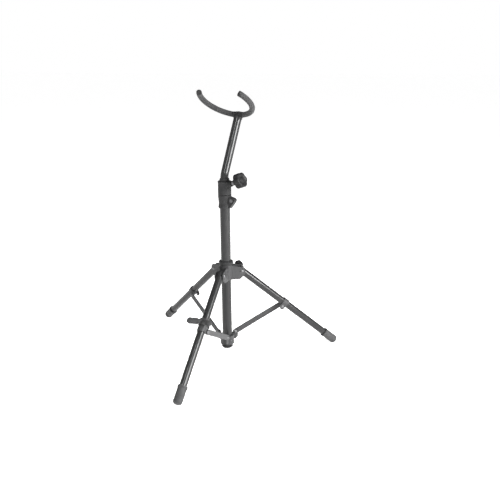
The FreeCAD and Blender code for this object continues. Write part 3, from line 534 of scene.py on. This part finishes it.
def foot_profile():
    """Outline of the rubber foot from its nose up the outside, over the lip and down the bore."""
    points = [(0, 0)] + arc_profile(FOOT_RADIUS - FOOT_NOSE, FOOT_NOSE, FOOT_NOSE, -90, 0, FOOT_NOSE_STEPS)
    first = FOOT_NOSE + FOOT_GROOVE_START
    for i in range(FOOT_GROOVES):
        middle = first + i * FOOT_GROOVE_PITCH
        for height, depth in FOOT_GROOVE_SHAPE:
            points.append((FOOT_RADIUS - FOOT_GROOVE_DEPTH * depth, middle + height * MM))
    mouth = FOOT_LENGTH - FOOT_MOUTH
    for growth, height in FOOT_SWELL:
        points.append((FOOT_RADIUS + growth * MM, mouth + height * MM))
    rim = FOOT_LENGTH - FOOT_RIM_START
    points += [(FOOT_MOUTH_RADIUS - FOOT_MOUTH_EDGE, mouth - FOOT_MOUTH_EDGE)]
    points += [(FOOT_MOUTH_RADIUS, mouth + FOOT_MOUTH_FLAT), (FOOT_MOUTH_RADIUS, rim)]
    corner = FOOT_RIM_ROUND
    points += arc_profile(FOOT_MOUTH_RADIUS - corner, FOOT_LENGTH - corner, corner, 10, 150, 8)
    bottom = FOOT_LENGTH - FOOT_BORE_DEPTH
    return points + [(FOOT_BORE_RADIUS, rim), (FOOT_BORE_RADIUS, bottom), (0, bottom)]


def floor_point(pivot, up):
    """Where a leg's axis meets the floor."""
    return pivot - up * (pivot.z / up.z)


def foot_end(letter):
    """Where the foot's nose lies on the leg's axis; its rounded end reaches FOOT_SINK under the floor."""
    pivot, up = leg_axis(letter)
    slope_sine = up.z
    slope_cosine = math.sqrt(1 - slope_sine ** 2)
    rise = FOOT_NOSE - FOOT_SINK + (FOOT_RADIUS - FOOT_NOSE) * slope_cosine
    return floor_point(pivot, up) + up * (rise / slope_sine - FOOT_NOSE)


def rubber_foot(letter):
    """Rubber foot on a leg's end, flat where it stands on the floor."""
    up = leg_axis(letter)[1]
    name = "foot_" + letter
    mesh = lathe(name, foot_end(letter), up, foot_profile(), FOOT_SEGMENTS, FOOT_UNEVEN, LEG_TURNS[letter])
    for vertex in mesh.vertices:
        vertex.co.z = max(vertex.co.z, 0.0)
    new_piece(name + "_rubber", mesh, MATERIALS["foot_rubber"], "leg_" + letter, "foot_rubber", name)


for letter in LEG_TURNS:
    rubber_foot(letter)


# ---- hand knobs ---------------------------------------------------------------
KNOB_SEGMENTS = 180
KNOB_LOBE_SHARPNESS = 0.6
KNOB_RIM_OF_LENGTH = 0.22   # the rounded rims take this share of the length,
KNOB_RIM_OF_RADIUS = 0.2    # or this share of the radius where that is less
KNOB_RIM_STEPS = 7
KNOB_BACK = (0.30, 0.62)    # rings on the flat back, as shares of the radius
KNOB_BOSS = 0.28            # the raised middle's share of the radius
# rings on the dished face: share of the radius, share of the dish's depth, how far they follow the lobes
KNOB_FACE = ((0.72, 0, 0.8), (0.60, 0.35, 0.45), (0.50, 1, 0.12), (KNOB_BOSS + 0.06, 1, 0),
             (KNOB_BOSS, 0.75, 0), (KNOB_BOSS * 0.94, 0.12, 0), (KNOB_BOSS * 0.8, 0, 0))


def lobed_radius(angle, lobes, radius, depth):
    """Outline of a hand knob: round lobes with narrower valleys between them."""
    wave = 0.5 + 0.5 * math.cos(lobes * angle)
    return radius - depth * (1 - wave ** KNOB_LOBE_SHARPNESS)


def hand_knob(name, node, body, joint, start, length, radius, lobes, depth, dish):
    """Knob on a screw: rounded rims, valleys between lobes, a dished face with a raised middle."""
    axis = Vector(joint["axis"]).normalized()
    origin = Vector(joint["pos_m"]) + axis * start
    side, other = across_pair(axis)
    rim = min(KNOB_RIM_OF_LENGTH * length, KNOB_RIM_OF_RADIUS * radius)
    rim_share = rim / radius
    rows = [(share, 0.0, 0.0) for share in KNOB_BACK] + [(1 - rim_share, 0.0, 1.0)]
    for i in range(1, KNOB_RIM_STEPS + 1):
        angle = math.radians(90 * i / KNOB_RIM_STEPS)
        rows.append((1 - rim_share * (1 - math.sin(angle)), rim * (1 - math.cos(angle)), 1.0))
    rows.append((1.0, length * 0.5, 1.0))
    for i in range(KNOB_RIM_STEPS + 1):
        angle = math.radians(90 * i / KNOB_RIM_STEPS)
        rows.append((1 - rim_share * (1 - math.cos(angle)), length - rim * (1 - math.sin(angle)), 1.0))
    rows += [(share, length - dish * deep, lobed) for share, deep, lobed in KNOB_FACE]
    verts = []
    for share, height, lobed in rows:
        for k in range(KNOB_SEGMENTS):
            angle = TURN * k / KNOB_SEGMENTS
            outline = lobed_radius(angle, lobes, radius, depth)
            r = share * (radius * (1 - lobed) + outline * lobed)
            way = side * math.cos(angle) + other * math.sin(angle)
            verts.append(origin + axis * height + way * r)
    faces = bands(len(rows), KNOB_SEGMENTS)
    faces += [end_face(row, KNOB_SEGMENTS) for row in (0, len(rows) - 1)]
    mesh = mesh_from(name, verts, faces)
    new_piece(name, mesh, MATERIALS["knob_plastic"], body, "knob_plastic", node)


# name, CAD node, body, joint, start along the screw, length, radius, lobes, valley depth, dish (mm)
HAND_KNOBS = (
    ("star_knob", "clamp_knob", "height_lock", "height_knob_turn", 50, 22, 23.1, 6, 2.9, 2.2),
    ("hub_hand_knob", "hub_knob", "hub_lock", "hub_knob_turn", 46, 16, 12.9, 3, 2.6, 1.2),
    ("rest_hand_knob", "rest_knob", "rest_lock", "rest_knob_turn", 18.5, 8.5, 9.4, 4, 1.6, 0.8),
)
for name, node, body, joint, start, length, radius, lobes, depth, dish in HAND_KNOBS:
    hand_knob(name, node, body, JOINTS[joint], start * MM, length * MM, radius * MM, lobes,
              depth * MM, dish * MM)


# ---- rest: foam sleeves with rounded ends --------------------------------------
PRONG_RUN = Vector((35.5, -30.0, 11.0)) * MM    # sideways, forward and up
PRONG_SLEEVE_RADIUS = 9.25 * MM
PRONG_SLEEVE_START = 15 * MM
PRONG_SLEEVE_LIP = 1.4 * MM
PRONG_SLEEVE_WAIST = 0.25 * MM  # the sleeve is this much slimmer halfway along
PRONG_SLEEVE_STEPS = 8
PRONG_SLEEVE_UNEVEN = 0.12 * MM
PRONG_DOME_END = 88             # degrees; the surface then runs in to the axis
REST_ALONG = 252 * MM       # up leg A from where its axis meets the floor
REST_ROOT_UP = 12 * MM      # square to the leg


def rest_root():
    """Where the two prongs' axes meet, above leg A, which lies in the plane x = 0."""
    pivot, up = leg_axis("a")
    square = Vector((0, -up.z, up.y))
    return floor_point(pivot, up) + up * REST_ALONG + square * REST_ROOT_UP


def prong_sleeve(side, node):
    """Foam sleeve with a domed end and a soft lip at its root."""
    axis = Vector((PRONG_RUN.x * side, PRONG_RUN.y, PRONG_RUN.z)).normalized()
    radius = PRONG_SLEEVE_RADIUS
    lip = PRONG_SLEEVE_LIP
    length = PRONG_RUN.length - radius - PRONG_SLEEVE_START
    points = [(0, 0), (YOKE_ROD_RADIUS, 0)] + arc_profile(radius - lip, lip, lip, -90, 0, 6)
    steps = PRONG_SLEEVE_STEPS
    for i in range(1, steps):
        waist = PRONG_SLEEVE_WAIST * math.sin(math.pi * i / steps)
        points.append((radius - waist, lip + (length - lip) * i / steps))
    points += arc_profile(0, length, radius, 0, PRONG_DOME_END, 16) + [(0, length + radius)]
    start = rest_root() + axis * PRONG_SLEEVE_START
    mesh = lathe(node, start, axis, points, wobble=PRONG_SLEEVE_UNEVEN, seed=side * 3.0)
    sleeve = new_piece(node + "_foam", mesh, MATERIALS["sleeve_foam"], "rest", "sleeve_foam", node)


prong_sleeve(-1, "rest_sleeve_left")
prong_sleeve(1, "rest_sleeve_right")


# ---- floor, lights, camera ----------------------------------------------------
HORIZON_LIGHT = 1.0         # the backdrop's light
HORIZON_BAND = math.radians(6)  # the backdrop is white up to this height, and fades out at twice it
SKY_LIGHT = 0.12            # the darker ceiling above it
FLOOR_GLOW = 0.85           # the floor's own light
FLOOR_HALF = 30.0
LIGHT_AIM = Vector((0, 0, 0.4))
# name, azimuth, elevation (degrees), distance, width, height (metres), power (watts)
LIGHTS = (
    ("key", 78, 22, 2.4, 1.0, 1.0, 130),
    ("fill", -70, 20, 2.6, 1.2, 1.6, 8),
    ("strip", 2, 46, 2.4, 0.14, 1.4, 40),
)


def floor():
    """Wide pale floor that gives off light itself, so that it comes out nearly white."""
    size = FLOOR_HALF
    mesh = mesh_from("floor", [(-size, -size, 0), (size, -size, 0), (size, size, 0), (-size, size, 0)],
                     [(0, 1, 2, 3)])
    plane = bpy.data.objects.new("floor", mesh)
    bpy.context.scene.collection.objects.link(plane)
    nodes = Nodes("floor")
    grain = nodes.noise(scale=30, detail=3)
    colour = nodes.ramp(grain, (0.3, (0.93, 0.93, 0.93)), (0.7, (0.96, 0.96, 0.96)))
    nodes.set(Emission_Color=(1, 1, 1, 1), Emission_Strength=FLOOR_GLOW)
    roughness = nodes.span(grain, low=0.3, high=0.7, to_low=0.75, to_high=0.85)
    surface = nodes.bump(grain, strength=0.02, distance=0.001)
    mesh.materials.append(nodes.finish(colour, roughness, surface))


def facing(azimuth, elevation):
    """Direction from the stand, angles in radians; azimuth 0 is in front of leg A."""
    level = math.cos(elevation)
    return Vector((math.sin(azimuth) * level, -math.cos(azimuth) * level, math.sin(elevation)))


def area_light(name, azimuth, elevation, distance, width, height, power):
    """Soft panel that faces the stand from a direction in degrees."""
    way = facing(math.radians(azimuth), math.radians(elevation))
    light = bpy.data.lights.new(name, "AREA")
    light.shape = "RECTANGLE"
    light.size = width
    light.size_y = height
    light.energy = power
    lamp = bpy.data.objects.new(name, light)
    bpy.context.scene.collection.objects.link(lamp)
    lamp.location = LIGHT_AIM + way * distance
    lamp.rotation_euler = way.to_track_quat("Z", "Y").to_euler()


def studio():
    """White backdrop at the horizon, a dark ceiling and three soft panels."""
    world = bpy.data.worlds.new("studio")
    bpy.context.scene.world = world
    world.use_nodes = True
    tree = world.node_tree
    coords = tree.nodes.new("ShaderNodeTexCoord")
    split = tree.nodes.new("ShaderNodeSeparateXYZ")
    fade = tree.nodes.new("ShaderNodeMapRange")
    tree.links.new(coords.outputs["Generated"], split.inputs["Vector"])
    tree.links.new(split.outputs["Z"], fade.inputs["Value"])
    fade.inputs["From Min"].default_value = math.sin(HORIZON_BAND)
    fade.inputs["From Max"].default_value = math.sin(2 * HORIZON_BAND)
    fade.inputs["To Min"].default_value = HORIZON_LIGHT
    fade.inputs["To Max"].default_value = SKY_LIGHT
    background = tree.nodes["Background"]
    background.inputs["Color"].default_value = (1.0, 1.0, 1.0, 1)
    tree.links.new(fade.outputs["Result"], background.inputs["Strength"])
    bpy.context.scene.view_settings.view_transform = "Standard"
    for light in LIGHTS:
        area_light(*light)


def camera():
    """Camera aimed just right of the column, rolled a little."""
    right = Vector((math.cos(CAMERA_AZIMUTH), math.sin(CAMERA_AZIMUTH), 0))
    back = facing(CAMERA_AZIMUTH, CAMERA_ELEVATION)
    up = back.cross(right)
    tilted_right = right * math.cos(CAMERA_ROLL) + up * math.sin(CAMERA_ROLL)
    tilted_up = back.cross(tilted_right)
    data = bpy.data.cameras.new("camera")
    data.lens = CAMERA_LENS
    data.sensor_width = CAMERA_SENSOR
    data.clip_start = CAMERA_NEAR
    view = bpy.data.objects.new("camera", data)
    bpy.context.scene.collection.objects.link(view)
    place = right * AIM_RIGHT + Z_AXIS * AIM_HEIGHT + back * CAMERA_DISTANCE
    basis = Matrix((tilted_right, tilted_up, back)).transposed()
    view.matrix_world = Matrix.Translation(place) @ basis.to_4x4()
    bpy.context.scene.camera = view


floor()
studio()
camera()
